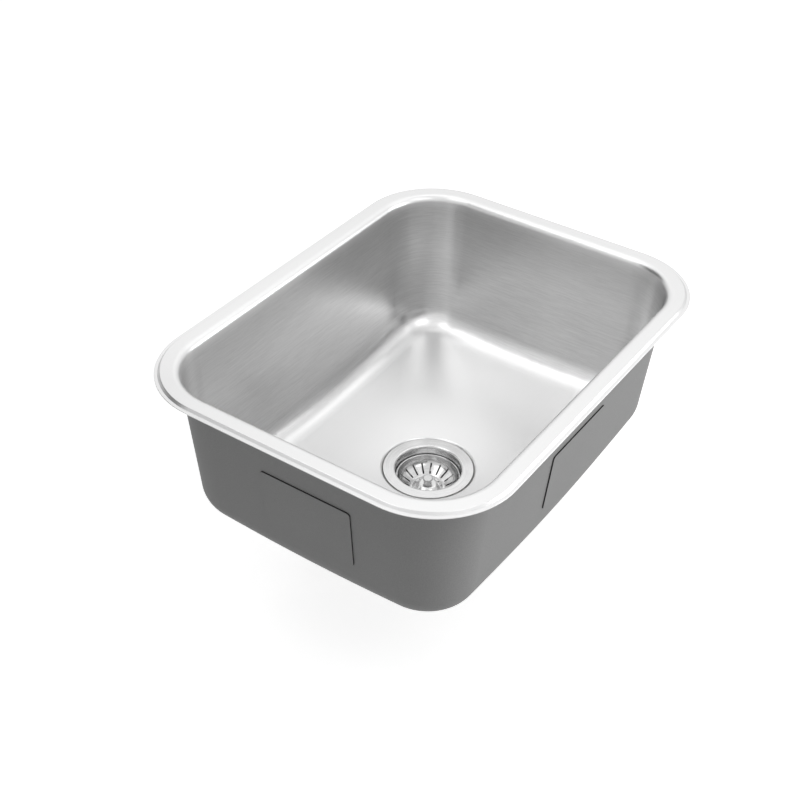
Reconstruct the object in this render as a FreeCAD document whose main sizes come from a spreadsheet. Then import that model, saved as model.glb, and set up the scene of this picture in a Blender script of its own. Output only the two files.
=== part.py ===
import FreeCAD, Part
import math
import os
import re
import Sketcher
from FreeCAD import Placement, Rotation, Vector

# A single-bowl drop-in sink with its basket strainer.
# Frame: X runs along the long side, Y from front to back, Z up.
# The origin is the rim's centre on the counter plane, which the underside of the lip rests on.
# Lengths are in millimetres and angles in degrees.

SIZES = {
    # rim: plan, outer lip, step, flat top and the bead that turns down into the bowl
    "rim_length": 585,
    "rim_width": 450,
    "rim_corner": 100,
    "rim_height": 4,
    "lip_width": 3,
    "lip_edge_round": 0.4,
    "step_run": 3.5,
    "step_round": 1.2,
    "rim_flat": 12.5,
    "bead_radius": 8.5,
    "sheet": 1.2,
    # bowl: drafted walls, pitched floor, drain recess and hole
    "bowl_corner": 75,
    "wall_draft": 5.2,
    "floor_round": 34,
    "floor_pitch": 6.8,
    "drain_depth": 215,
    "recess_depth": 2.8,
    "recess_slant": 1.6,
    "recess_clearance": 0.7,
    "recess_round": 1.5,
    "drain_hole_radius": 44.5,
    # sprayed coat and sound pads on the outside
    "coat": 0.8,
    "coat_top": 9,
    "coat_drain_gap": 3,
    "wall_pad_length": 120,
    "wall_pad_height": 82,
    "wall_pad_corner": 4,
    "wall_pad_thickness": 2.6,
    "wall_pad_edge": 0.5,
    "short_wall_pad_drop": 104,
    "long_wall_pad_drop": 112,
    "left_pad_shift": 10,
    "front_pad_shift": 13,
    "floor_pad_drain_gap": 19,
    "floor_pad_wall_gap": 100,
    "floor_pad_width": 190,
    "floor_pad_corner": 10,
    "floor_pad_thickness": 3,
    # strainer body
    "flange_drop": 0.5,
    "flange_radius": 57.15,
    "flange_edge_round": 0.4,
    "strainer_sheet": 1,
    "mouth_round": 3,
    "cup_radius": 41.5,
    "cup_depth": 28,
    "throat_drop": 13,
    "outlet_bore": 19.5,
    "outlet_radius": 23.4,
    "outlet_length": 19,
    "bar_width": 3,
    "bar_height": 3,
    "bar_gap": 2,
    "bar_bite": 1,
    "hub_radius": 7.5,
    "hub_hole_radius": 4.4,
    # rings that clamp the strainer to the floor
    "flange_gasket_margin": 1.2,
    "sink_gasket_clearance": 0.5,
    "sink_gasket_radius": 56.5,
    "sink_gasket_thickness": 3.5,
    "friction_ring_radius": 56,
    "friction_ring_thickness": 1.2,
    "lock_nut_collar_radius": 54.5,
    "lock_nut_collar_height": 3.2,
    "lock_nut_radius": 49,
    "lock_nut_height": 12,
    "lock_nut_lugs": 8,
    "lock_nut_lug_width": 8,
    "lock_nut_lug_inset": 0.5,
    # outlet tube and its nut
    "tailpiece_radius": 19.05,
    "tailpiece_wall": 0.9,
    "tailpiece_length": 101.6,
    "tailpiece_flange_radius": 22.6,
    "tailpiece_flange_height": 1.4,
    "tailpiece_relief": 0.3,
    "tailpiece_relief_length": 6,
    "tailpiece_washer_thickness": 1.6,
    "coupling_nut_across": 57,
    "coupling_nut_height": 19,
    "coupling_nut_floor": 2.6,
    "coupling_nut_chamfer": 25,
    "coupling_nut_chamfer_inset": 1,
    "slip_clearance": 0.25,
    # lift-out basket
    "basket_radius": 40.7,
    "basket_lip_width": 2,
    "basket_lip_height": 1.6,
    "basket_lip_round": 0.6,
    "basket_sheet": 0.8,
    "basket_depth": 19.5,
    "basket_turn_radius": 36.8,
    "basket_turn_drop": 10.5,
    "basket_turn_round": 12,
    "basket_foot_radius": 21.8,
    "dome_radius": 19.5,
    "dome_top_radius": 11,
    "dome_height": 6,
    "dome_round": 5,
    "slot_count": 18,
    "slot_phase": 6,
    "slot_width": 2.2,
    "slot_inner_radius": 23.2,
    "slot_outer_radius": 35.6,
    # basket post and what it carries
    "post_radius": 2.5,
    "post_hole_clearance": 0.1,
    "post_foot_radius": 5.2,
    "post_neck_radius": 3.6,
    "knob_radius": 6.3,
    "knob_height": 3.6,
    "knob_round": 1.4,
    "post_rise": 8.5,
    "seal_disc_radius": 30.5,
    "seal_rim_thickness": 2.3,
    "seal_slant_drop": 0.9,
    "seal_seat_gap": 0.4,
    "seal_washer_radius": 9,
    "seal_washer_thickness": 1,
    "post_nut_across": 8,
    "post_nut_height": 3,
    "clip_collar_radius": 3.7,
    "clip_collar_height": 2,
    "clip_leg_width": 2.4,
    "clip_sheet": 0.7,
    "clip_clearance": 0.5,
    "clip_bulge_drop": 8,
    "clip_length": 15,
}

# Places worked out from the sizes above, written as formulas.
PLACES = {
    "draft_tan": "tan(wall_draft * 1 deg)",
    "draft_cos": "cos(wall_draft * 1 deg)",
    "pitch_tan": "tan(floor_pitch * 1 deg)",
    "pitch_cos": "cos(floor_pitch * 1 deg)",
    "step_top_inset": "lip_width + step_run",
    "step_slant": "atan(step_run / rim_height)",
    "rim_under": "rim_height - sheet",
    "hollow_inset": "lip_width + sheet / cos(step_slant)",
    "wall_inset": "step_top_inset + rim_flat + bead_radius",
    "recess_radius": "flange_radius + recess_clearance",
    "recess_edge_radius": "recess_radius + recess_slant",
    "recess_turn": "tan(atan(recess_depth / recess_slant) / 2)",
    "recess_floor": "-(drain_depth + recess_depth)",
    "coat_drain_radius": "recess_edge_radius + coat_drain_gap",
    "floor_pad_start": "coat_drain_radius + floor_pad_drain_gap",
    "floor_pad_length": "rim_length / 2 - floor_pad_wall_gap - floor_pad_start",
    "floor_pad_middle": "floor_pad_start + floor_pad_length / 2",
    "flange_top": "-(drain_depth + flange_drop)",
    "flange_under": "flange_top - strainer_sheet",
    "flange_turn": "mouth_round - strainer_sheet",
    "cup_outside": "cup_radius + strainer_sheet",
    "cup_foot": "flange_top - cup_depth",
    "throat_slope": "throat_drop / (cup_radius - outlet_bore)",
    "throat_foot": "cup_foot - throat_drop",
    "throat_wall": "strainer_sheet * sqrt(1 + throat_slope * throat_slope)",
    "throat_under": "throat_foot - throat_wall",
    "cup_outside_foot": "cup_foot + strainer_sheet * throat_slope - throat_wall",
    "outlet_shoulder": "cup_foot - (cup_radius - outlet_radius) * throat_slope - throat_wall",
    "outlet_end": "throat_foot - outlet_length",
    "bar_top": "throat_foot - bar_gap",
    "floor_under_drain": "recess_floor - sheet",
    "gasket_under": "floor_under_drain - sink_gasket_thickness",
    "friction_under": "gasket_under - friction_ring_thickness",
    "lock_nut_collar_under": "friction_under - lock_nut_collar_height",
    "tail_top": "outlet_end - tailpiece_washer_thickness",
    "tail_flange_under": "tail_top - tailpiece_flange_height",
    "coupling_under": "tail_flange_under - coupling_nut_floor",
    "coupling_top": "coupling_under + coupling_nut_height",
    "chamfer_start": "coupling_nut_across / 2 - coupling_nut_chamfer_inset",
    "chamfer_drop": "(coupling_nut_across - chamfer_start) * tan(coupling_nut_chamfer * 1 deg)",
    "seal_rim_under": "cup_foot - (cup_radius - seal_disc_radius) * throat_slope + seal_seat_gap",
    "seal_under": "seal_rim_under - seal_slant_drop",
    "seal_slant_radius": "seal_disc_radius - seal_slant_drop / throat_slope",
    "basket_under": "seal_rim_under + seal_rim_thickness",
    "basket_floor": "basket_under + basket_sheet",
    "basket_top": "basket_floor + basket_depth",
    "basket_mouth": "basket_radius - basket_lip_width",
    "basket_turn": "basket_top - basket_turn_drop",
    "basket_lean": "(basket_mouth - basket_turn_radius) / basket_turn_drop",
    "basket_fall": "(basket_depth - basket_turn_drop) / (basket_turn_radius - basket_foot_radius)",
    "basket_wall": "basket_sheet * sqrt(1 + basket_lean * basket_lean)",
    "basket_slab": "basket_sheet * sqrt(1 + basket_fall * basket_fall)",
    "basket_turn_sink": "(basket_slab - basket_fall * basket_wall) / (1 - basket_fall * basket_lean)",
    "basket_turn_under": "basket_turn - basket_turn_sink",
    "basket_turn_outside": "basket_turn_radius + basket_wall - basket_lean * basket_turn_sink",
    "basket_mouth_outside": "basket_mouth + basket_wall - basket_lip_height * basket_lean",
    "basket_foot_outside": "basket_foot_radius + (basket_slab - basket_sheet) / basket_fall",
    "dome_top": "basket_floor + dome_height",
    "dome_under": "dome_top - basket_sheet",
    "dome_slope": "(dome_radius - dome_top_radius) / dome_height",
    "dome_shrink": "basket_sheet * (sqrt(1 + dome_slope * dome_slope) - dome_slope)",
    "post_hole_radius": "post_radius + post_hole_clearance",
    "post_top": "dome_top + post_rise",
    "knob_under": "post_top - knob_height",
    "seal_washer_under": "seal_under - seal_washer_thickness",
    "post_nut_under": "seal_washer_under - post_nut_height",
    "clip_collar_under": "post_nut_under - clip_collar_height",
    "clip_bulge": "post_nut_under - clip_bulge_drop",
    "clip_bulge_radius": "hub_hole_radius - clip_clearance",
    "clip_end": "post_nut_under - clip_length",
}

# Nearness of two coordinates that count as one, and the depth by which cutters overrun.
NEAR = 0.01
SPARE = 20
WORD = re.compile(r"[a-z][a-z_]*")

doc = FreeCAD.newDocument("sink")
sheet = doc.addObject("Spreadsheet::Sheet", "Sizes")
for row, (alias, number) in enumerate(SIZES.items(), start=1):
    sheet.set(f"A{row}", alias)
    sheet.set(f"B{row}", str(number))
    sheet.setAlias(f"B{row}", alias)
doc.recompute()


def formula(text):
    """Turn a formula in plain names into one that reads the sheet's cells."""
    def replaced(match):
        word = match.group(0)
        if word in PLACES:
            return f"({formula(PLACES[word])})"
        if word in SIZES:
            return f"Sizes.{word}"
        return word
    return WORD.sub(replaced, str(text))


def value(text):
    """Evaluate a formula in plain names."""
    found = sheet.evalExpression(formula(text))
    return float(getattr(found, "Value", found))


def new_body(label):
    body = doc.addObject("PartDesign::Body", label)
    body.Label = label
    return body


def origin_feature(body, role):
    return next(item for item in body.Origin.OriginFeatures if item.Role == role)


def new_sketch(body, name, role="XY_Plane", lift="0"):
    """Sketch on one of the body's own planes, lifted along its normal."""
    sketch = body.newObject("Sketcher::SketchObject", name)
    sketch.AttachmentSupport = [(origin_feature(body, role), "")]
    sketch.MapMode = "FlatFace"
    sketch.setExpression("AttachmentOffset.Base.z", formula(lift))
    return sketch


def pin_point(sketch, item, end, across, along):
    """Fix an end point of a sketch item at two formulas from the sketch's origin."""
    for kind, axis, text in (("DistanceX", -2, across), ("DistanceY", -1, along)):
        if text == "0":
            sketch.addConstraint(Sketcher.Constraint("PointOnObject", item, end, axis))
        else:
            index = sketch.addConstraint(Sketcher.Constraint(kind, -1, 1, item, end, value(text)))
            sketch.setExpression(f"Constraints[{index}]", formula(text))


def draw_polygon(sketch, corners):
    """Closed outline through corners, each a pair of formulas."""
    points = [Vector(value(across), value(along), 0) for across, along in corners]
    count = len(points)
    for index, point in enumerate(points):
        sketch.addGeometry(Part.LineSegment(point, points[(index + 1) % count]), False)
    for index, (across, along) in enumerate(corners):
        sketch.addConstraint(Sketcher.Constraint("Coincident", index, 2, (index + 1) % count, 1))
        pin_point(sketch, index, 1, across, along)


def draw_rectangle(sketch, length, width):
    """Rectangle about the sketch's origin."""
    half_x = f"({length}) / 2"
    half_y = f"({width}) / 2"
    draw_polygon(sketch, [
        (half_x, half_y),
        (f"-{half_x}", half_y),
        (f"-{half_x}", f"-{half_y}"),
        (half_x, f"-{half_y}"),
    ])


def draw_rounded_rectangle(sketch, length, width, radius):
    """Rectangle about the sketch's origin with round corners: arcs and sides by turns."""
    half_x = f"({length}) / 2"
    half_y = f"({width}) / 2"
    reach = value(radius)
    arcs = []
    for turn, (side_x, side_y) in enumerate(((1, 1), (-1, 1), (-1, -1), (1, -1))):
        centre = Vector(side_x * (value(half_x) - reach), side_y * (value(half_y) - reach), 0)
        circle = Part.Circle(centre, Vector(0, 0, 1), reach)
        arcs.append(Part.ArcOfCircle(circle, turn * math.pi / 2, (turn + 1) * math.pi / 2))
    for turn, arc in enumerate(arcs):
        sketch.addGeometry(arc, False)
        sketch.addGeometry(Part.LineSegment(arc.EndPoint, arcs[(turn + 1) % 4].StartPoint), False)
    for item in range(8):
        sketch.addConstraint(Sketcher.Constraint("Tangent", item, 2, (item + 1) % 8, 1))
    sides = (
        ("DistanceY", half_y),
        ("DistanceX", f"-{half_x}"),
        ("DistanceY", f"-{half_y}"),
        ("DistanceX", half_x),
    )
    for turn, (kind, text) in enumerate(sides):
        side = 2 * turn + 1
        sketch.addConstraint(Sketcher.Constraint("Horizontal" if kind == "DistanceY" else "Vertical", side))
        index = sketch.addConstraint(Sketcher.Constraint(kind, -1, 1, side, 1, value(text)))
        sketch.setExpression(f"Constraints[{index}]", formula(text))
    for turn in (1, 2, 3):
        sketch.addConstraint(Sketcher.Constraint("Equal", 0, 2 * turn))
    index = sketch.addConstraint(Sketcher.Constraint("Radius", 0, reach))
    sketch.setExpression(f"Constraints[{index}]", formula(radius))


def draw_circle(sketch, radius):
    """Circle about the sketch's origin."""
    item = sketch.addGeometry(Part.Circle(Vector(), Vector(0, 0, 1), value(radius)), False)
    sketch.addConstraint(Sketcher.Constraint("Coincident", item, 3, -1, 1))
    index = sketch.addConstraint(Sketcher.Constraint("Radius", item, value(radius)))
    sketch.setExpression(f"Constraints[{index}]", formula(radius))


def draw_slot(sketch, inner, outer, width):
    """Round-ended slot along the sketch's first axis, between two distances from its origin."""
    reach = value(width) / 2
    centres = (f"({outer}) - ({width}) / 2", f"({inner}) + ({width}) / 2")
    arcs = []
    for centre, start in zip(centres, (-math.pi / 2, math.pi / 2)):
        circle = Part.Circle(Vector(value(centre), 0, 0), Vector(0, 0, 1), reach)
        arcs.append(Part.ArcOfCircle(circle, start, start + math.pi))
    for turn, arc in enumerate(arcs):
        sketch.addGeometry(arc, False)
        sketch.addGeometry(Part.LineSegment(arc.EndPoint, arcs[1 - turn].StartPoint), False)
    for item in range(4):
        sketch.addConstraint(Sketcher.Constraint("Tangent", item, 2, (item + 1) % 4, 1))
    for turn, centre in enumerate(centres):
        pin_point(sketch, 2 * turn, 3, centre, "0")
    sketch.addConstraint(Sketcher.Constraint("Equal", 0, 2))
    index = sketch.addConstraint(Sketcher.Constraint("Radius", 0, reach))
    sketch.setExpression(f"Constraints[{index}]", formula(f"({width}) / 2"))


def draw_hexagon(sketch, across):
    """Regular hexagon about the sketch's origin, by its width across flats."""
    half = f"({across}) / 2"
    quarter = f"({across}) / (2 * sqrt(3))"
    draw_polygon(sketch, [
        (half, quarter),
        ("0", f"2 * {quarter}"),
        (f"-{half}", quarter),
        (f"-{half}", f"-{quarter}"),
        ("0", f"-2 * {quarter}"),
        (half, f"-{quarter}"),
    ])


def extrude(body, sketch, length, upward=True, taper="0"):
    """Pad a sketch; a positive taper narrows the pad away from the sketch."""
    feature = body.newObject("PartDesign::Pad", f"{sketch.Name}_pad")
    feature.Profile = sketch
    feature.setExpression("Length", formula(length))
    feature.setExpression("TaperAngle", formula(f"-({taper})"))
    feature.Reversed = not upward
    doc.recompute()
    return feature


def cut_through(body, sketch, length, upward=False, taper="0"):
    """Pocket a sketch; a positive taper narrows the pocket away from the sketch."""
    before = body.Shape.Volume
    feature = body.newObject("PartDesign::Pocket", f"{sketch.Name}_pocket")
    feature.Profile = sketch
    feature.setExpression("Length", formula(length))
    feature.setExpression("TaperAngle", formula(f"-({taper})"))
    feature.Reversed = upward
    doc.recompute()
    if feature.Shape.Volume >= before:
        raise RuntimeError(f"{feature.Name} removes nothing")
    return feature


def turn(body, sketch, kind="Revolution"):
    """Turn a sketch once about the vertical axis, adding to the body or cutting a groove."""
    feature = body.newObject(f"PartDesign::{kind}", f"{sketch.Name}_{kind.lower()}")
    feature.Profile = sketch
    feature.ReferenceAxis = (sketch, ["V_Axis"])
    feature.Angle = 360
    doc.recompute()


def repeat_round(body, feature, count):
    """Repeat a feature evenly about the vertical axis."""
    pattern = body.newObject("PartDesign::PolarPattern", f"{feature.Name}_pattern")
    pattern.Originals = [feature]
    pattern.Axis = (origin_feature(body, "Z_Axis"), [""])
    pattern.Angle = 360
    pattern.setExpression("Occurrences", formula(count))
    body.Tip = pattern
    doc.recompute()


def round_edges(body, radius, chosen):
    """Fillet every edge of the body that a test picks."""
    base = body.Tip
    names = [f"Edge{index}" for index, edge in enumerate(base.Shape.Edges, start=1) if chosen(edge)]
    if not names:
        raise RuntimeError(f"no edge of {body.Label} found to round")
    feature = body.newObject("PartDesign::Fillet", f"{body.Label}_fillet")
    feature.Base = (base, names)
    feature.setExpression("Radius", formula(radius))
    doc.recompute()


def ring(radius, height):
    """Edge test: a circle about the vertical axis."""
    def matches(edge):
        box = edge.BoundBox
        level = abs(box.ZMin - value(height)) < NEAR and abs(box.ZMax - value(height)) < NEAR
        return level and isinstance(edge.Curve, Part.Circle) and abs(edge.Curve.Radius - value(radius)) < NEAR
    return matches


def rim_loop(height, least_inset, most_inset):
    """Edge test: level edges at a height whose loop lies between two insets from the rim's outer edge."""
    def matches(edge):
        box = edge.BoundBox
        if abs(box.ZMin - value(height)) > NEAR or abs(box.ZMax - value(height)) > NEAR:
            return False
        reach_x = value("rim_length / 2") - max(abs(box.XMin), abs(box.XMax))
        reach_y = value("rim_width / 2") - max(abs(box.YMin), abs(box.YMax))
        return value(least_inset) - NEAR < min(reach_x, reach_y) < value(most_inset) + NEAR
    return matches


def turned(label, corners):
    """Body turned from one closed outline of radius and height formulas."""
    body = new_body(label)
    sketch = new_sketch(body, f"{label}_profile", "XZ_Plane")
    draw_polygon(sketch, corners)
    turn(body, sketch)
    return body


def plain_ring(label, inner, outer, top, under):
    return turned(label, [(inner, top), (outer, top), (outer, under), (inner, under)])


def add_bowl_block(body, growth):
    """Drafted bowl with its pitched floor, grown outward by a thickness from the bowl's inside."""
    spread = f"({growth}) / draft_cos"
    outline = new_sketch(body, "bowl_outline", lift="rim_height")
    draw_rounded_rectangle(
        outline,
        f"rim_length - 2 * wall_inset + 2 * {spread}",
        f"rim_width - 2 * wall_inset + 2 * {spread}",
        f"bowl_corner + {spread}",
    )
    extrude(body, outline, f"rim_height + drain_depth + {SPARE}", upward=False, taper="wall_draft")
    slide = f"({growth}) * recess_turn"
    drop = f"({growth}) / pitch_cos"
    floor = new_sketch(body, "floor_profile", "XZ_Plane")
    draw_polygon(floor, [
        ("0", f"recess_floor - ({growth})"),
        (f"recess_radius + {slide}", f"recess_floor - ({growth})"),
        (f"recess_edge_radius + {slide}", f"{slide} * pitch_tan - {drop} - drain_depth"),
        ("rim_length", f"(rim_length - recess_edge_radius) * pitch_tan - {drop} - drain_depth"),
        ("rim_length", f"-(drain_depth + 2 * {SPARE})"),
        ("0", f"-(drain_depth + 2 * {SPARE})"),
    ])
    turn(body, floor, "Groove")
    clear_of_drain = value("recess_edge_radius") + SPARE
    wall_end = value("-drain_depth / 2")

    def floor_edge(edge):
        middle = edge.valueAt((edge.FirstParameter + edge.LastParameter) / 2)
        return edge.BoundBox.ZMax < wall_end and math.hypot(middle.x, middle.y) > clear_of_drain

    round_edges(body, f"floor_round + {growth}", floor_edge)


def bowl_form(label, growth):
    body = new_body(label)
    add_bowl_block(body, growth)
    return body


def round_recess(body):
    """Soften the two bends of the drain recess on both faces of the sheet."""
    slide = "sheet * recess_turn"
    tight = "recess_round"
    wide = "recess_round + sheet"
    round_edges(body, tight, ring("recess_radius", "recess_floor"))
    round_edges(body, wide, ring("recess_edge_radius", "-drain_depth"))
    round_edges(body, wide, ring(f"recess_radius + {slide}", "recess_floor - sheet"))
    outer_level = f"{slide} * pitch_tan - sheet / pitch_cos - drain_depth"
    round_edges(body, tight, ring(f"recess_edge_radius + {slide}", outer_level))


def make_sink_bowl():
    """One drawn sheet: lip, step, flat, bead, walls, floor and drain recess."""
    body = new_body("sink_bowl")
    crown = new_sketch(body, "crown_outline")
    draw_rounded_rectangle(
        crown, "rim_length - 2 * lip_width", "rim_width - 2 * lip_width", "rim_corner - lip_width"
    )
    extrude(body, crown, "rim_height", taper="step_slant")
    lip = new_sketch(body, "lip_outline")
    draw_rounded_rectangle(lip, "rim_length", "rim_width", "rim_corner")
    extrude(body, lip, "sheet")
    hollow = new_sketch(body, "hollow_outline")
    draw_rounded_rectangle(
        hollow, "rim_length - 2 * hollow_inset", "rim_width - 2 * hollow_inset", "rim_corner - hollow_inset"
    )
    cut_through(body, hollow, "rim_under", upward=True, taper="step_slant")
    add_bowl_block(body, "sheet")
    round_edges(body, "bead_radius - sheet", rim_loop("rim_under", "wall_inset - 2 * sheet", "wall_inset"))
    inside = bowl_form("bowl_inside", "0")
    boolean = body.newObject("PartDesign::Boolean", "bowl_hollow")
    boolean.setObjects([inside])
    boolean.Type = "Cut"
    doc.recompute()
    round_edges(body, "bead_radius", rim_loop("rim_height", "wall_inset", "wall_inset"))
    hole = new_sketch(body, "drain_outline", lift="recess_floor")
    draw_circle(hole, "drain_hole_radius")
    cut_through(body, hole, "2 * sheet")
    round_recess(body)
    round_edges(body, "step_round", rim_loop("rim_height", "step_top_inset", "step_top_inset"))
    round_edges(body, "lip_edge_round", rim_loop("sheet", "0", "0"))
    return body


def make_wall_pad(name, middle, normal, drop):
    """Sound pad glued to a wall: middle is its place along the wall, drop its centre below the counter."""
    body = new_body(f"sound_pad_{name}")
    outline = new_sketch(body, "pad_outline")
    draw_rounded_rectangle(outline, "wall_pad_length", "wall_pad_height", "wall_pad_corner")
    extrude(body, outline, "wall_pad_thickness")
    face = value("wall_pad_thickness")
    round_edges(body, "wall_pad_edge", lambda edge: edge.BoundBox.ZMin > face - NEAR)
    half_size = "rim_length" if normal.x else "rim_width"
    lean = f"(rim_height + {drop}) * draft_tan - sheet / draft_cos"
    reach = value(f"{half_size} / 2 - wall_inset - ({lean})")
    along = Vector(-normal.y, normal.x, 0)
    outward = normal * value("draft_cos") - Vector(0, 0, value("sin(wall_draft * 1 deg)"))
    upward = outward.cross(along)
    place = normal * reach + along * middle - Vector(0, 0, value(drop))
    body.Placement = Placement(place, Rotation(along, upward, outward, "ZXY"))
    return body


def make_wall_pads():
    """One pad on each wall; the seen ones sit off the middle of their walls."""
    short_wall = "short_wall_pad_drop"
    long_wall = "long_wall_pad_drop"
    return [
        make_wall_pad("left", value("left_pad_shift"), Vector(-1, 0, 0), short_wall),
        make_wall_pad("right", 0, Vector(1, 0, 0), short_wall),
        make_wall_pad("front", value("front_pad_shift"), Vector(0, -1, 0), long_wall),
        make_wall_pad("back", 0, Vector(0, 1, 0), long_wall),
    ]


def join(kind, label, base, tool):
    """Cut or intersect two solids of the document."""
    result = doc.addObject(f"Part::{kind}", label)
    result.Label = label
    result.Base = base
    result.Tool = tool
    doc.recompute()
    return result


def make_floor_pads(outside):
    """Sound pads under the floor, left and right of the drain, following its pitch."""
    skin = join("Cut", "floor_pad_skin", bowl_form("floor_pad_form", "sheet + floor_pad_thickness"), outside)
    pads = []
    for name, side in (("left", -1), ("right", 1)):
        prism = new_body(f"floor_pad_prism_{name}")
        outline = new_sketch(prism, "pad_outline")
        draw_rounded_rectangle(outline, "floor_pad_length", "floor_pad_width", "floor_pad_corner")
        extrude(prism, outline, f"drain_depth + 2 * {SPARE}", upward=False)
        prism.setExpression("Placement.Base.x", formula(f"{side} * floor_pad_middle"))
        pads.append(join("Common", f"sound_pad_floor_{name}", skin, prism))
    return pads


def make_undercoat(outside, pads):
    """Sprayed coat over the walls and the floor, open at the top, at the drain and under the pads."""
    form = bowl_form("coat_form", "sheet + coat")
    above = new_sketch(form, "coat_top_outline", lift="-coat_top")
    draw_rectangle(above, "rim_length", "rim_width")
    cut_through(form, above, "coat_top + 2 * rim_height", upward=True)
    drain = new_sketch(form, "coat_drain_outline")
    draw_circle(drain, "coat_drain_radius")
    cut_through(form, drain, f"drain_depth + 2 * {SPARE}")
    skin = join("Cut", "coat_skin", form, outside)
    windows = doc.addObject("Part::MultiFuse", "coat_windows")
    windows.Shapes = pads
    doc.recompute()
    return join("Cut", "undercoat", skin, windows)


def make_strainer_body():
    """Flange, cup and throat pressed from one sheet."""
    body = turned("strainer_body", [
        ("flange_radius", "flange_top"),
        ("cup_radius", "flange_top"),
        ("cup_radius", "cup_foot"),
        ("outlet_bore", "throat_foot"),
        ("outlet_bore", "throat_under"),
        ("cup_outside", "cup_outside_foot"),
        ("cup_outside", "flange_under"),
        ("flange_radius", "flange_under"),
    ])
    round_edges(body, "mouth_round", ring("cup_radius", "flange_top"))
    round_edges(body, "flange_turn", ring("cup_outside", "flange_under"))
    round_edges(body, "flange_edge_round", ring("flange_radius", "flange_top"))
    return body


def make_outlet_spud():
    """Threaded outlet under the throat, with the cross bars and hub that hold the basket's clip."""
    body = turned("outlet_spud", [
        ("outlet_bore", "throat_under"),
        ("outlet_radius", "outlet_shoulder"),
        ("outlet_radius", "outlet_end"),
        ("outlet_bore", "outlet_end"),
    ])
    bar_length = "2 * (outlet_bore + bar_bite)"
    for name, length, width in (("bar_x", bar_length, "bar_width"), ("bar_y", "bar_width", bar_length)):
        bar = new_sketch(body, name, lift="bar_top")
        draw_rectangle(bar, length, width)
        extrude(body, bar, "bar_height", upward=False)
    hub = new_sketch(body, "hub_outline", lift="bar_top")
    draw_circle(hub, "hub_radius")
    extrude(body, hub, "bar_height", upward=False)
    hole = new_sketch(body, "hub_hole_outline", lift="bar_top")
    draw_circle(hole, "hub_hole_radius")
    cut_through(body, hole, "bar_height")
    return body


def make_lock_nut():
    """Ring nut on the cup's thread with a collar and lugs for a spanner."""
    body = turned("lock_nut", [
        ("cup_outside", "friction_under"),
        ("lock_nut_collar_radius", "friction_under"),
        ("lock_nut_collar_radius", "lock_nut_collar_under"),
        ("lock_nut_radius", "lock_nut_collar_under"),
        ("lock_nut_radius", "friction_under - lock_nut_height"),
        ("cup_outside", "friction_under - lock_nut_height"),
    ])
    lug = new_sketch(body, "lug_outline", lift="lock_nut_collar_under")
    lug_middle = "(cup_outside + lock_nut_radius) / 2"
    draw_polygon(lug, [
        (lug_middle, "lock_nut_lug_width / 2"),
        (lug_middle, "-lock_nut_lug_width / 2"),
        ("lock_nut_collar_radius - lock_nut_lug_inset", "-lock_nut_lug_width / 2"),
        ("lock_nut_collar_radius - lock_nut_lug_inset", "lock_nut_lug_width / 2"),
    ])
    lug_pad = extrude(body, lug, "lock_nut_height - lock_nut_collar_height", upward=False)
    repeat_round(body, lug_pad, "lock_nut_lugs")
    return body


def make_tailpiece():
    """Flanged outlet tube, eased a little under its flange where the nut's neck runs."""
    bore = "tailpiece_radius - tailpiece_wall"
    eased = "tailpiece_radius - tailpiece_relief"
    eased_end = "tail_flange_under - tailpiece_relief_length"
    return turned("tailpiece", [
        (bore, "tail_top"),
        ("tailpiece_flange_radius", "tail_top"),
        ("tailpiece_flange_radius", "tail_flange_under"),
        (eased, "tail_flange_under"),
        (eased, eased_end),
        ("tailpiece_radius", eased_end),
        ("tailpiece_radius", "tail_top - tailpiece_length"),
        (bore, "tail_top - tailpiece_length"),
    ])


def make_coupling_nut():
    """Six-sided nut that draws the tailpiece's flange up to the outlet."""
    body = new_body("coupling_nut")
    outline = new_sketch(body, "nut_outline", lift="coupling_under")
    draw_hexagon(outline, "coupling_nut_across")
    extrude(body, outline, "coupling_nut_height")
    thread = new_sketch(body, "thread_outline", lift="tail_flange_under")
    draw_circle(thread, "outlet_radius")
    cut_through(body, thread, "coupling_nut_height", upward=True)
    neck = new_sketch(body, "neck_outline", lift="tail_flange_under")
    draw_circle(neck, "tailpiece_radius + slip_clearance")
    cut_through(body, neck, "coupling_nut_height")
    for face, inward in (("coupling_top", "-"), ("coupling_under", "+")):
        chamfer = new_sketch(body, f"{face}_chamfer", "XZ_Plane")
        draw_polygon(chamfer, [
            ("chamfer_start", face),
            ("coupling_nut_across", face),
            ("coupling_nut_across", f"{face} {inward} chamfer_drop"),
        ])
        turn(body, chamfer, "Groove")
    return body


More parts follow.
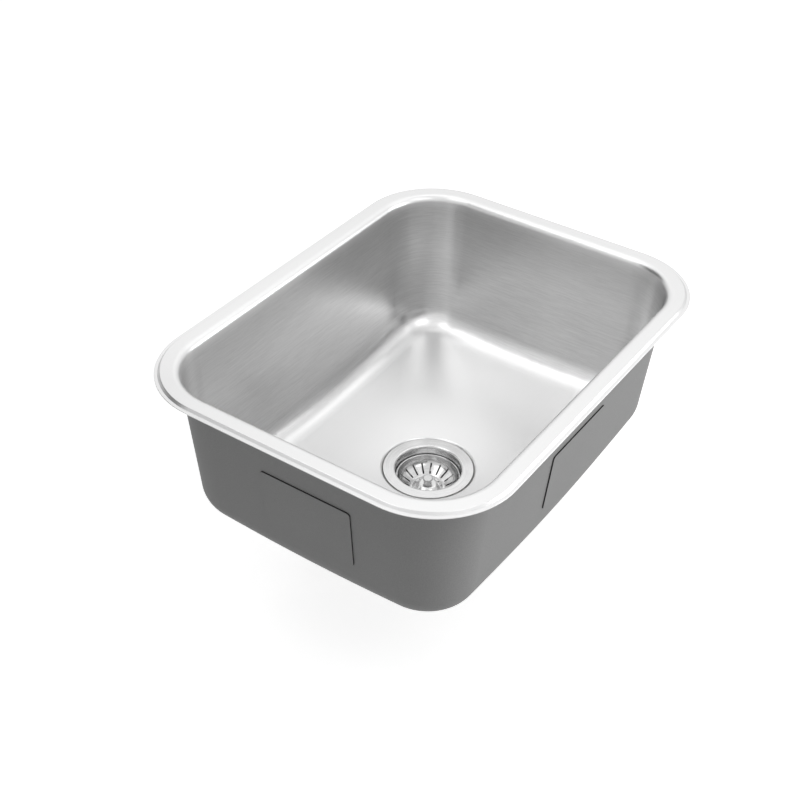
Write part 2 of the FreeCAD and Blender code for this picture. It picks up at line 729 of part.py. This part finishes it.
def make_basket_cup():
    """Slotted sheet basket with a rolled lip, a steep wall, a sloping floor and a raised middle."""
    body = turned("basket_cup", [
        ("basket_radius", "basket_top"),
        ("basket_mouth", "basket_top"),
        ("basket_turn_radius", "basket_turn"),
        ("basket_foot_radius", "basket_floor"),
        ("dome_radius", "basket_floor"),
        ("dome_top_radius", "dome_top"),
        ("post_hole_radius", "dome_top"),
        ("post_hole_radius", "dome_under"),
        ("dome_top_radius - dome_shrink", "dome_under"),
        ("dome_radius - dome_shrink", "basket_under"),
        ("basket_foot_outside", "basket_under"),
        ("basket_turn_outside", "basket_turn_under"),
        ("basket_mouth_outside", "basket_top - basket_lip_height"),
        ("basket_radius", "basket_top - basket_lip_height"),
    ])
    round_edges(body, "basket_turn_round", ring("basket_turn_radius", "basket_turn"))
    round_edges(body, "basket_turn_round + basket_sheet", ring("basket_turn_outside", "basket_turn_under"))
    round_edges(body, "dome_round", ring("dome_top_radius", "dome_top"))
    round_edges(body, "dome_round - basket_sheet", ring("dome_top_radius - dome_shrink", "dome_under"))
    for radius, height in (
        ("basket_radius", "basket_top"),
        ("basket_mouth", "basket_top"),
        ("basket_radius", "basket_top - basket_lip_height"),
    ):
        round_edges(body, "basket_lip_round", ring(radius, height))
    slot = new_sketch(body, "slot_outline", lift="basket_top")
    draw_slot(slot, "slot_inner_radius", "slot_outer_radius", "slot_width")
    slot_pocket = cut_through(body, slot, "2 * basket_depth")
    repeat_round(body, slot_pocket, "slot_count")
    body.Placement.Rotation = Rotation(Vector(0, 0, 1), value("slot_phase"))
    return body


def make_basket_post():
    """Turned post with a flattened knob, a cone down to the basket's raised middle and a long shank."""
    body = turned("basket_post", [
        ("0", "post_top"),
        ("knob_radius", "post_top"),
        ("knob_radius", "knob_under"),
        ("post_neck_radius", "knob_under"),
        ("post_foot_radius", "dome_top"),
        ("post_radius", "dome_top"),
        ("post_radius", "clip_end"),
        ("0", "clip_end"),
    ])
    round_edges(body, "knob_round", ring("knob_radius", "post_top"))
    round_edges(body, "knob_round", ring("knob_radius", "knob_under"))
    return body


def make_basket_seal():
    """Rubber stopper: a plug inside the raised middle and a disc that closes on the throat."""
    body = turned("basket_seal", [
        ("post_hole_radius", "dome_under"),
        ("dome_top_radius - dome_shrink", "dome_under"),
        ("dome_radius - dome_shrink", "basket_under"),
        ("seal_disc_radius", "basket_under"),
        ("seal_disc_radius", "seal_rim_under"),
        ("seal_slant_radius", "seal_under"),
        ("post_hole_radius", "seal_under"),
    ])
    round_edges(body, "dome_round - basket_sheet", ring("dome_top_radius - dome_shrink", "dome_under"))
    return body


def make_post_nut():
    """Small hexagon nut under the seal's washer."""
    body = new_body("post_nut")
    outline = new_sketch(body, "nut_outline", lift="seal_washer_under")
    draw_hexagon(outline, "post_nut_across")
    extrude(body, outline, "post_nut_height", upward=False)
    hole = new_sketch(body, "thread_outline", lift="seal_washer_under")
    draw_circle(hole, "post_hole_radius")
    cut_through(body, hole, "post_nut_height")
    return body


def make_post_clip():
    """Sprung clip: a collar on the shank with two bowed legs that pass the hub's hole."""
    body = plain_ring("post_clip", "post_hole_radius", "clip_collar_radius",
                      "post_nut_under", "clip_collar_under")
    leg = new_sketch(body, "leg_outline", "XZ_Plane", lift="-clip_leg_width / 2")
    foot = "post_hole_radius"
    draw_polygon(leg, [
        (foot, "clip_collar_under"),
        (f"{foot} + clip_sheet", "clip_collar_under"),
        ("clip_bulge_radius", "clip_bulge"),
        (f"{foot} + clip_sheet", "clip_end"),
        (foot, "clip_end"),
        ("clip_bulge_radius - clip_sheet", "clip_bulge"),
    ])
    leg_pad = extrude(body, leg, "clip_leg_width")
    repeat_round(body, leg_pad, "2")
    return body


def make_parts():
    outside = bowl_form("bowl_outside", "sheet")
    bowl = make_sink_bowl()
    pads = make_wall_pads() + make_floor_pads(outside)
    coat = make_undercoat(outside, pads)
    strainer = [
        make_strainer_body(),
        make_outlet_spud(),
        plain_ring("flange_gasket", "cup_outside + flange_turn", "flange_radius - flange_gasket_margin",
                   "flange_under", "recess_floor"),
        plain_ring("sink_gasket", "cup_outside + sink_gasket_clearance", "sink_gasket_radius",
                   "floor_under_drain", "gasket_under"),
        plain_ring("friction_ring", "cup_outside", "friction_ring_radius", "gasket_under", "friction_under"),
        make_lock_nut(),
        plain_ring("tailpiece_washer", "tailpiece_radius - tailpiece_wall", "tailpiece_flange_radius",
                   "outlet_end", "tail_top"),
        make_tailpiece(),
        make_coupling_nut(),
    ]
    basket = [
        make_basket_cup(),
        make_basket_post(),
        make_basket_seal(),
        plain_ring("seal_washer", "post_hole_radius", "seal_washer_radius",
                   "seal_under", "seal_washer_under"),
        make_post_nut(),
        make_post_clip(),
    ]
    return [bowl, coat] + pads + strainer + basket


def check_and_write(parts):
    doc.recompute()
    for item in doc.Objects:
        if "Invalid" in item.State or "Error" in item.State:
            raise RuntimeError(f"{item.Name} failed: {item.State}")
    for part in parts:
        if part.Shape.isNull() or not part.Shape.isValid() or len(part.Shape.Solids) != 1:
            raise RuntimeError(f"{part.Label} is not one valid solid")
    os.makedirs("parts", exist_ok=True)
    for part in parts:
        part.Shape.exportStep(os.path.join("parts", f"{part.Label}.step"))
        print(part.Label, round(part.Shape.Volume), "cubic mm")


check_and_write(make_parts())
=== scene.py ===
import math
from collections import namedtuple

import bpy
from mathutils import Matrix, Vector


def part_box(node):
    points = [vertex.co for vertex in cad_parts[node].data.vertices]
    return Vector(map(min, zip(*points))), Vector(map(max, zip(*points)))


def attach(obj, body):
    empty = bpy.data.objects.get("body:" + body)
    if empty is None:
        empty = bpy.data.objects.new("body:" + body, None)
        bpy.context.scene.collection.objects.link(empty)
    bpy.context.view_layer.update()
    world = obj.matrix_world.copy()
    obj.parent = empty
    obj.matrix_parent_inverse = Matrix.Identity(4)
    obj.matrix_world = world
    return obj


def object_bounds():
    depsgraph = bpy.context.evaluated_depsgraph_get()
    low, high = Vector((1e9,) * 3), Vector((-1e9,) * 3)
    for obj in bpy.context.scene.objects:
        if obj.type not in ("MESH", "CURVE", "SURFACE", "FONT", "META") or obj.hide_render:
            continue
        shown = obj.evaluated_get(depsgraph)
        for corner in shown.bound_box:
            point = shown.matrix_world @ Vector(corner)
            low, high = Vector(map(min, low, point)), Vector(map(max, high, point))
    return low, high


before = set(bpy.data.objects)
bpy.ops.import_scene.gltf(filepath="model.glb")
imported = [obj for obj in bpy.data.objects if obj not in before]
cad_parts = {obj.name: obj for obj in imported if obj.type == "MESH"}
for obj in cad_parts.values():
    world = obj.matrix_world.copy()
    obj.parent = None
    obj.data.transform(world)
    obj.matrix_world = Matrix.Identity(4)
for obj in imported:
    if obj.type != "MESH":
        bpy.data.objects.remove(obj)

# The looks of a single-bowl drop-in sink: brushed sheet, sprayed outside, turned strainer, lift-out basket.
# Lengths are in metres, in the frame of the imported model: X along the long side, Y to the back, Z up.

MM = 0.001
X_AXIS = 0
Y_AXIS = 1
Z_AXIS = 2
TO_BACK = (0, 1, 0)
UP = (0, 0, 1)
CAD_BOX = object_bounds()

# Rim: its half sides and its corners, which lead the grain round the bowl.
RIM_HALF_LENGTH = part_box("sink_bowl")[1].x
RIM_HALF_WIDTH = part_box("sink_bowl")[1].y
RIM_CORNER = 100 * MM

# Camera: the photograph's viewpoint and framing.
VIEW_AZIMUTH = -56.237
VIEW_ELEVATION = 37.661
VIEW_ROLL = 1.385
VIEW_DISTANCE = 1.5668
VIEW_SIDE = -39.8 * MM
VIEW_RISE = -85.3 * MM
SENSOR = 36
LENS = 60.58

# Screw threads: what shows of them below the lock nut and above the coupling nut.
# A ridge's half width is a share of the pitch, and its run-out is a share of a turn.
THREAD_STEPS = 72
THREAD_CORNERS = 3
THREAD_HALF_WIDTH = 0.36
THREAD_HEIGHT = 0.6 * MM
THREAD_SUNK = 0.15 * MM
THREAD_RUN_OUT = 0.25
THREAD_GAP = 0.9 * MM
CUP_RADIUS = 42.5 * MM
CUP_PITCH = 1.8 * MM
CUP_TURNS = 3
OUTLET_RADIUS = 23.4 * MM
OUTLET_PITCH = 1.5 * MM
OUTLET_TURNS = 2

# Stage: levels where 1 renders as white, the floor, and a dark card that the steel reflects.
BACKGROUND = 1.0
FILL = 0.32
FLOOR_GLOW = 0.66
FLOOR_SIZE = 14
FLOOR_LEVEL = 0.85
STAGE_ROUGHNESS = 0.9
BOWL_MIDDLE = Vector((0, 0, -0.1))
CARD_PLACE = Vector((-0.65, 2.0, 1.16))
CARD_WIDTH = 2.4
CARD_HEIGHT = 1.8
CARD_LEVEL = 0.03

# Lamps: soft rectangles that face the bowl. An even radiance of 1 takes 4 watts for each square metre.
WATTS_PER_RADIANCE = 4
Lamp = namedtuple("Lamp", "name place width height radiance")
LAMPS = (
    Lamp("back", place=(1.64, 0.95, 1.46), width=2.2, height=0.9, radiance=0.28),
    Lamp("overhead", place=(0.46, 0.8, 2.25), width=2.2, height=1.0, radiance=0.6),
    Lamp("left_high", place=(-0.98, 0.69, 2.08), width=1.2, height=1.0, radiance=1.0),
    Lamp("right_high", place=(1.37, -0.45, 1.92), width=0.9, height=1.0, radiance=0.6),
    Lamp("front_high", place=(-0.37, -1.4, 1.92), width=1.2, height=0.9, radiance=1.2),
    Lamp("side", place=(1.19, -2.24, 0.5), width=1.6, height=1.2, radiance=3.1),
)

# Node trees: the sockets of the mix node (share, first, second, result), and where a noise mostly lies.
MIX_SOCKETS = {"FLOAT": (0, 2, 3, 0), "VECTOR": (0, 4, 5, 1), "RGBA": (0, 6, 7, 2)}
NOISE_RANGE = (0.3, 0.7)
WIDE_NOISE_RANGE = (0.25, 0.75)


class Finish:
    """One material and the small helpers that build its node tree."""

    def __init__(self, name):
        self.material = bpy.data.materials.new(name)
        self.material.use_nodes = True
        self.tree = self.material.node_tree
        self.shader = self.tree.nodes["Principled BSDF"]
        coordinates = self.node("ShaderNodeTexCoord")
        self.where = coordinates.outputs["Object"]
        self.normal = coordinates.outputs["Normal"]

    def node(self, kind, inputs=None, **settings):
        made = self.tree.nodes.new(kind)
        for key, setting in settings.items():
            setattr(made, key, setting)
        for key, source in (inputs or {}).items():
            self.feed(made.inputs[key], source)
        return made

    def feed(self, socket, source):
        if isinstance(source, bpy.types.NodeSocket):
            self.tree.links.new(source, socket)
        else:
            socket.default_value = source

    def shade(self, **sources):
        """Set the shader's sockets, where underscores stand for spaces, and give the material."""
        for key, source in sources.items():
            self.feed(self.shader.inputs[key.replace("_", " ")], source)
        return self.material

    def maths(self, operation, first, second=0.0):
        made = self.node("ShaderNodeMath", {0: first, 1: second}, operation=operation)
        return made.outputs[0]

    def vector(self, operation, first, second=(0, 0, 0)):
        made = self.node("ShaderNodeVectorMath", {0: first, 1: second}, operation=operation)
        return made.outputs["Vector"]

    def length(self, source):
        made = self.node("ShaderNodeVectorMath", {0: source}, operation="LENGTH")
        return made.outputs["Value"]

    def split(self, source):
        return self.node("ShaderNodeSeparateXYZ", {0: source}).outputs

    def joined(self, x, y, z):
        return self.node("ShaderNodeCombineXYZ", {0: x, 1: y, 2: z}).outputs[0]

    def span(self, source, reach, result=(0.0, 1.0), smooth=True):
        """Map a number from its reach to a result range, held at the ends."""
        from_low, from_high = reach
        to_low, to_high = result
        made = self.node("ShaderNodeMapRange", {
            "Value": source,
            "From Min": from_low,
            "From Max": from_high,
            "To Min": to_low,
            "To Max": to_high,
        })
        made.interpolation_type = "SMOOTHSTEP" if smooth else "LINEAR"
        return made.outputs["Result"]

    def noise(self, where, scale=1.0, detail=3.0, roughness=0.55):
        made = self.node("ShaderNodeTexNoise", {
            "Vector": where,
            "Scale": scale,
            "Detail": detail,
            "Roughness": roughness,
        })
        return made.outputs["Fac"]

    def mix(self, kind, share, first, second):
        """Mix two values of one kind: FLOAT, VECTOR or RGBA."""
        share_socket, first_socket, second_socket, result_socket = MIX_SOCKETS[kind]
        made = self.node("ShaderNodeMix", data_type=kind)
        self.feed(made.inputs[share_socket], share)
        self.feed(made.inputs[first_socket], first)
        self.feed(made.inputs[second_socket], second)
        return made.outputs[result_socket]

    def bump(self, height, strength, distance):
        made = self.node("ShaderNodeBump", {"Height": height, "Strength": strength, "Distance": distance})
        return made.outputs["Normal"]


def grey(level):
    return (level, level, level, 1)


def around(middle, spread):
    """Range with a given middle and a spread to each side."""
    return (middle - spread, middle + spread)


def rim_frame(finish, x, y):
    """Distance outward from the rim's corner centres, and the level direction in which it grows."""
    over_x = finish.maths("SUBTRACT", finish.maths("ABSOLUTE", x), RIM_HALF_LENGTH - RIM_CORNER)
    over_y = finish.maths("SUBTRACT", finish.maths("ABSOLUTE", y), RIM_HALF_WIDTH - RIM_CORNER)
    out_x = finish.maths("MULTIPLY", finish.maths("MAXIMUM", over_x, 0.0), finish.maths("SIGN", x))
    out_y = finish.maths("MULTIPLY", finish.maths("MAXIMUM", over_y, 0.0), finish.maths("SIGN", y))
    outward = finish.joined(out_x, out_y, 0.0)
    return finish.length(outward), finish.vector("NORMALIZE", outward)


def brushed_sheet():
    """Drawn stainless sheet: hair-fine grain round the rim and walls and along the floor.

    The rim and the floor are calmer than the walls, and the walls carry painted shade: their colour is
    painted darker towards the rim.
    """
    grain_along = 30.0
    wall_grain_across = 480.0
    floor_grain_across = 1100.0
    floor_slope = (0.6, 0.93)
    floor_heights = (-0.12, -0.16)
    rim_heights = (-0.014, -0.002)
    # Painted shade: between these heights the wall colour is darkened towards the rim.
    rim_shade_heights = (-0.015, -0.085)
    rim_shade_tone = (0.86, 1.08)
    wall_level = (0.62, 0.78)
    calm_level = (0.69, 0.71)
    roughness = (0.278, 0.3)
    rim_roughness = 0.06
    cloud_roughness = (0.0, 0.02)
    wall_bump = 0.06
    calm_bump = 0.02

    finish = Finish("brushed_sheet")
    x, y, z = finish.split(finish.where)
    slope = finish.maths("ABSOLUTE", finish.split(finish.normal)[Z_AXIS])
    on_floor = finish.maths("MULTIPLY", finish.span(slope, floor_slope), finish.span(z, floor_heights))
    on_rim = finish.span(z, rim_heights)
    calm = finish.maths("MAXIMUM", on_floor, on_rim)

    out_distance, outward = rim_frame(finish, x, y)
    round_wall = finish.joined(x, y, finish.maths("ADD", out_distance, z))
    wall_waves = finish.vector("MULTIPLY", round_wall, (grain_along, grain_along, wall_grain_across))
    floor_waves = finish.vector("MULTIPLY", finish.where, (grain_along, floor_grain_across, 0.0))
    wall_grain = finish.noise(wall_waves, detail=5.0, roughness=0.75)
    floor_grain = finish.noise(floor_waves, detail=4.0, roughness=0.6)
    grain = finish.mix("FLOAT", on_floor, wall_grain, floor_grain)

    # Painted shade: the walls' colour is scaled down towards the rim.
    painted_rim_shade = finish.span(z, rim_shade_heights, rim_shade_tone)
    wall_tone = finish.span(grain, WIDE_NOISE_RANGE, wall_level, smooth=False)
    calm_tone = finish.span(grain, WIDE_NOISE_RANGE, calm_level, smooth=False)
    tone = finish.mix("FLOAT", calm, finish.maths("MULTIPLY", wall_tone, painted_rim_shade), calm_tone)

    cloud = finish.noise(finish.where, scale=16.0, detail=2.0)
    grain_rough = finish.span(grain, NOISE_RANGE, roughness, smooth=False)
    rim_rough = finish.maths("ADD", grain_rough, finish.maths("MULTIPLY", on_rim, rim_roughness))
    up_wall = finish.vector("ADD", outward, UP)
    return finish.shade(
        Base_Color=finish.joined(tone, tone, tone),
        Metallic=1.0,
        Roughness=finish.maths("ADD", rim_rough, finish.span(cloud, NOISE_RANGE, cloud_roughness)),
        Anisotropic=0.35,
        Tangent=finish.mix("VECTOR", on_floor, up_wall, TO_BACK),
        Normal=finish.bump(grain, finish.mix("FLOAT", calm, wall_bump, calm_bump), 0.2 * MM),
    )


def sprayed_coat(name="sprayed_coat", edge_axis=None):
    """Matt sprayed coat with a fine stipple; on pads the cut edges show the dark core."""
    dark_speck = grey(0.265)
    light_speck = grey(0.325)
    drift_colour = grey(0.27)
    core_colour = grey(0.02)

    finish = Finish(name)
    stipple = finish.noise(finish.where, scale=900.0)
    drift = finish.noise(finish.where, scale=9.0)
    drift_share = finish.span(drift, reach=(0.35, 0.65), result=(0.0, 0.25))
    colour = finish.mix("RGBA", finish.span(stipple, NOISE_RANGE), dark_speck, light_speck)
    colour = finish.mix("RGBA", drift_share, colour, drift_colour)
    if edge_axis is not None:
        facing = finish.maths("ABSOLUTE", finish.split(finish.normal)[edge_axis])
        colour = finish.mix("RGBA", finish.span(facing, reach=(0.55, 0.85)), core_colour, colour)
    return finish.shade(
        Base_Color=colour,
        Roughness=finish.span(stipple, NOISE_RANGE, result=(0.6, 0.78)),
        Normal=finish.bump(stipple, strength=0.5, distance=0.3 * MM),
    )


def turned_steel(name, level, rough, depth):
    """Steel turned about the upright axis: fine rings that fan the light out."""
    rings_along = 30.0
    rings_across = 1600.0
    height_share = 0.8
    level_spread = 0.05
    ring_roughness = 0.04
    smear_roughness = 0.03

    finish = Finish(name)
    x, y, z = finish.split(finish.where)
    outward = finish.joined(x, y, 0.0)
    across = finish.maths("ADD", finish.length(outward), finish.maths("MULTIPLY", z, height_share))
    round_axis = finish.joined(x, y, across)
    rings = finish.noise(finish.vector("MULTIPLY", round_axis, (rings_along, rings_along, rings_across)))
    smear = finish.noise(finish.where, scale=60.0, detail=2.0)
    dark, light = around(level, level_spread)
    ring_rough = finish.span(rings, NOISE_RANGE, around(rough, ring_roughness))
    smear_rough = finish.span(smear, NOISE_RANGE, around(0.0, smear_roughness))
    return finish.shade(
        Base_Color=finish.mix("RGBA", finish.span(rings, NOISE_RANGE), grey(dark), grey(light)),
        Metallic=1.0,
        Roughness=finish.maths("ADD", ring_rough, smear_rough),
        Anisotropic=0.65,
        Tangent=outward,
        Normal=finish.bump(rings, depth, distance=0.1 * MM),
    )


def plated_metal():
    """Dull zinc plating with faint crystals and rubbed spots."""
    dark_crystal = (0.46, 0.47, 0.47, 1)
    light_crystal = (0.56, 0.56, 0.55, 1)
    rubbed_colour = (0.63, 0.63, 0.62, 1)

    finish = Finish("plated_metal")
    crystals = finish.node("ShaderNodeTexVoronoi", {"Vector": finish.where, "Scale": 260.0}).outputs["Color"]
    rubbed = finish.noise(finish.where, scale=55.0, detail=4.0)
    grain = finish.noise(finish.where, scale=1200.0, detail=2.0)
    crystal_share = finish.span(finish.split(crystals)[X_AXIS], reach=(0.0, 1.0), smooth=False)
    colour = finish.mix("RGBA", crystal_share, dark_crystal, light_crystal)
    return finish.shade(
        Base_Color=finish.mix("RGBA", finish.span(rubbed, reach=(0.5, 0.7)), colour, rubbed_colour),
        Metallic=1.0,
        Roughness=finish.span(rubbed, reach=(0.35, 0.65), result=(0.46, 0.3)),
        Normal=finish.bump(grain, strength=0.15, distance=0.2 * MM),
    )


def polished_tube():
    """Bright tube with fine rings left by polishing and dull patches."""
    rings_across = 900.0
    dark_ring = grey(0.48)
    light_ring = grey(0.56)

    finish = Finish("polished_tube")
    rings = finish.noise(finish.vector("MULTIPLY", finish.where, (1.0, 1.0, rings_across)))
    patch = finish.noise(finish.where, scale=45.0)
    return finish.shade(
        Base_Color=finish.mix("RGBA", finish.span(rings, NOISE_RANGE), dark_ring, light_ring),
        Metallic=1.0,
        Roughness=finish.span(patch, reach=(0.4, 0.7), result=(0.1, 0.22)),
        Normal=finish.bump(rings, strength=0.04, distance=0.1 * MM),
    )


def moulded(name, dark, light, rough, mottle=70.0):
    """Moulded rubber, plastic or pressed fibre: a mottled body with a fine skin."""
    skin_roughness = 0.08

    finish = Finish(name)
    body = finish.noise(finish.where, scale=mottle, detail=4.0)
    skin = finish.noise(finish.where, scale=1500.0, detail=2.0)
    return finish.shade(
        Base_Color=finish.mix("RGBA", finish.span(body, NOISE_RANGE), dark, light),
        Roughness=finish.span(skin, NOISE_RANGE, around(rough, skin_roughness)),
        Normal=finish.bump(skin, strength=0.25, distance=0.2 * MM),
    )


def brass():
    """Plain brass with a brown tarnish in patches."""
    clean = (0.66, 0.48, 0.2, 1)
    tarnish = (0.42, 0.28, 0.12, 1)
    patch_range = (0.4, 0.7)

    finish = Finish("brass")
    patch = finish.noise(finish.where, scale=220.0, detail=4.0)
    return finish.shade(
        Base_Color=finish.mix("RGBA", finish.span(patch, patch_range), clean, tarnish),
        Metallic=1.0,
        Roughness=finish.span(patch, patch_range, result=(0.24, 0.45)),
        Normal=finish.bump(patch, strength=0.1, distance=0.1 * MM),
    )


def dress_nodes():
    """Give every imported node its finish, and hand back the finishes by node."""
    coat = sprayed_coat()
    steel = turned_steel("strainer_steel", level=0.63, rough=0.22, depth=0.05)
    bright = turned_steel("basket_steel", level=0.64, rough=0.19, depth=0.04)
    plated = plated_metal()
    black = moulded("black_rubber", dark=grey(0.018), light=grey(0.035), rough=0.62)
    soft = moulded("soft_gasket", dark=(0.7, 0.7, 0.67, 1), light=(0.8, 0.8, 0.77, 1), rough=0.55)
    fibre = moulded("fibre", dark=(0.36, 0.26, 0.16, 1), light=(0.52, 0.4, 0.27, 1), rough=0.8, mottle=420.0)
    white = moulded("white_washer", dark=(0.74, 0.74, 0.72, 1), light=(0.82, 0.82, 0.8, 1), rough=0.45)
    finishes = {
        "sink_bowl": brushed_sheet(),
        "undercoat": coat,
        "strainer_body": steel,
        "outlet_spud": plated,
        "flange_gasket": soft,
        "sink_gasket": black,
        "friction_ring": fibre,
        "lock_nut": plated,
        "tailpiece_washer": white,
        "tailpiece": polished_tube(),
        "coupling_nut": plated,
        "basket_cup": bright,
        "basket_post": turned_steel("post_steel", level=0.55, rough=0.14, depth=0.03),
        "basket_seal": black,
        "seal_washer": steel,
        "post_nut": brass(),
        "post_clip": turned_steel("spring_steel", level=0.5, rough=0.3, depth=0.1),
    }
    pad_axes = {
        "left": X_AXIS,
        "right": X_AXIS,
        "front": Y_AXIS,
        "back": Y_AXIS,
        "floor_left": Z_AXIS,
        "floor_right": Z_AXIS,
    }
    pad_finishes = {axis: sprayed_coat(f"pad_coat_{axis}", axis) for axis in (X_AXIS, Y_AXIS, Z_AXIS)}
    for side, axis in pad_axes.items():
        finishes[f"sound_pad_{side}"] = pad_finishes[axis]
    for name, material in finishes.items():
        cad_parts[name].material_slots[0].material = material
    return finishes


def make_threads(steel, plated):
    """The threads of the strainer's cup and of its outlet."""
    cup_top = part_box("lock_nut")[0].z - THREAD_GAP
    outlet_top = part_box("coupling_nut")[1].z + THREAD_GAP + OUTLET_PITCH * OUTLET_TURNS
    cup = make_thread("cup_thread", CUP_RADIUS, cup_top, CUP_TURNS, CUP_PITCH, steel)
    outlet = make_thread("outlet_thread", OUTLET_RADIUS, outlet_top, OUTLET_TURNS, OUTLET_PITCH, plated)


def make_thread(name, radius, top, turns, pitch, material):
    """Screw thread: one ridge wound down round a cylinder, run out at both ends."""
    steps = THREAD_STEPS * turns
    half = THREAD_HALF_WIDTH * pitch
    foot = radius - THREAD_SUNK
    points = []
    for step in range(steps + 1):
        angle = -2 * math.pi * step / THREAD_STEPS
        level = top - pitch * step / THREAD_STEPS
        turns_to_end = min(step, steps - step) / THREAD_STEPS
        crest = radius + THREAD_HEIGHT * min(1, turns_to_end / THREAD_RUN_OUT)
        for distance, rise in ((foot, half), (crest, 0), (foot, -half)):
            points.append((distance * math.cos(angle), distance * math.sin(angle), level + rise))
    start = range(THREAD_CORNERS)
    end = range(len(points) - THREAD_CORNERS, len(points))
    faces = [tuple(start), tuple(reversed(end))]
    for first in range(0, end[0], THREAD_CORNERS):
        second = first + THREAD_CORNERS
        for corner in range(THREAD_CORNERS):
            after = (corner + 1) % THREAD_CORNERS
            faces.append((first + corner, second + corner, second + after, first + after))
    mesh = bpy.data.meshes.new(name)
    mesh.from_pydata(points, [], faces)
    mesh.materials.append(material)
    thread = bpy.data.objects.new(name, mesh)
    bpy.context.scene.collection.objects.link(thread)
    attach(thread, "sink")
    return thread


def make_camera():
    """Camera at the photograph's place, turned and rolled as it was."""
    azimuth = math.radians(VIEW_AZIMUTH)
    elevation = math.radians(VIEW_ELEVATION)
    roll = math.radians(VIEW_ROLL)
    back = Vector((
        math.sin(azimuth) * math.cos(elevation),
        -math.cos(azimuth) * math.cos(elevation),
        math.sin(elevation),
    ))
    level = Vector((math.cos(azimuth), math.sin(azimuth), 0))
    upright = back.cross(level)
    right = level * math.cos(roll) + upright * math.sin(roll)
    up = upright * math.cos(roll) - level * math.sin(roll)
    place = back * VIEW_DISTANCE + right * VIEW_SIDE + up * VIEW_RISE
    turn = Matrix((right, up, back)).transposed().to_4x4()
    data = bpy.data.cameras.new("camera")
    data.sensor_width = SENSOR
    data.lens = LENS
    camera = bpy.data.objects.new("camera", data)
    camera.matrix_world = Matrix.Translation(place) @ turn
    bpy.context.scene.collection.objects.link(camera)
    bpy.context.scene.camera = camera


def seen_ray(tree):
    """1 for rays that show a surface to the camera, straight or by a mirror or glass."""
    path = tree.nodes.new("ShaderNodeLightPath")
    total = path.outputs["Is Camera Ray"]
    for name in ("Is Glossy Ray", "Is Transmission Ray"):
        both = tree.nodes.new("ShaderNodeMath")
        both.operation = "MAXIMUM"
        tree.links.new(total, both.inputs[0])
        tree.links.new(path.outputs[name], both.inputs[1])
        total = both.outputs[0]
    return total


def make_world():
    """White surroundings where they are seen, and a weaker even fill for diffuse light."""
    world = bpy.data.worlds.new("studio")
    world.use_nodes = True
    bpy.context.scene.world = world
    tree = world.node_tree
    strength = tree.nodes.new("ShaderNodeMapRange")
    tree.links.new(seen_ray(tree), strength.inputs["Value"])
    strength.inputs["To Min"].default_value = FILL
    strength.inputs["To Max"].default_value = BACKGROUND
    background = tree.nodes["Background"]
    background.inputs["Color"].default_value = grey(1)
    tree.links.new(strength.outputs["Result"], background.inputs["Strength"])


def make_sheet(name, width, height, rise, level):
    """Flat matt grey sheet for the stage, with its node tree."""
    across = width / 2
    up = height / 2
    corners = [(-across, -up, rise), (across, -up, rise), (across, up, rise), (-across, up, rise)]
    mesh = bpy.data.meshes.new(name)
    mesh.from_pydata(corners, [], [range(len(corners))])
    material = bpy.data.materials.new(name)
    material.use_nodes = True
    shader = material.node_tree.nodes["Principled BSDF"]
    shader.inputs["Base Color"].default_value = grey(level)
    shader.inputs["Roughness"].default_value = STAGE_ROUGHNESS
    mesh.materials.append(material)
    sheet = bpy.data.objects.new(name, mesh)
    bpy.context.scene.collection.objects.link(sheet)
    return sheet, material.node_tree


def make_floor():
    """Plain pale floor under the tailpiece, which keeps the object's shadow."""
    floor, tree = make_sheet("floor", FLOOR_SIZE, FLOOR_SIZE, CAD_BOX[0].z, FLOOR_LEVEL)
    glow = tree.nodes.new("ShaderNodeMath")
    glow.operation = "MULTIPLY"
    tree.links.new(seen_ray(tree), glow.inputs[0])
    glow.inputs[1].default_value = FLOOR_GLOW
    shader = tree.nodes["Principled BSDF"]
    shader.inputs["Emission Color"].default_value = grey(1)
    tree.links.new(glow.outputs[0], shader.inputs["Emission Strength"])


def make_card():
    """Dark studio card, seen only in the steel."""
    card, _ = make_sheet("card_left", CARD_WIDTH, CARD_HEIGHT, 0, CARD_LEVEL)
    card.location = CARD_PLACE
    card.rotation_euler = (BOWL_MIDDLE - CARD_PLACE).to_track_quat("Z", "Y").to_euler()
    card.visible_camera = False


def add_lamp(lamp):
    """Soft rectangular lamp, turned to the bowl."""
    data = bpy.data.lights.new(lamp.name, "AREA")
    data.shape = "RECTANGLE"
    data.size = lamp.width
    data.size_y = lamp.height
    data.energy = lamp.radiance * WATTS_PER_RADIANCE * lamp.width * lamp.height
    made = bpy.data.objects.new(lamp.name, data)
    made.location = lamp.place
    made.rotation_euler = (BOWL_MIDDLE - Vector(lamp.place)).to_track_quat("-Z", "Y").to_euler()
    bpy.context.scene.collection.objects.link(made)


def make_stage():
    """The surroundings, the floor, the card and the lamps."""
    make_world()
    make_floor()
    make_card()
    for lamp in LAMPS:
        add_lamp(lamp)


bpy.context.scene.view_settings.view_transform = "Standard"
finishes = dress_nodes()
make_threads(finishes["strainer_body"], finishes["outlet_spud"])
make_camera()
make_stage()
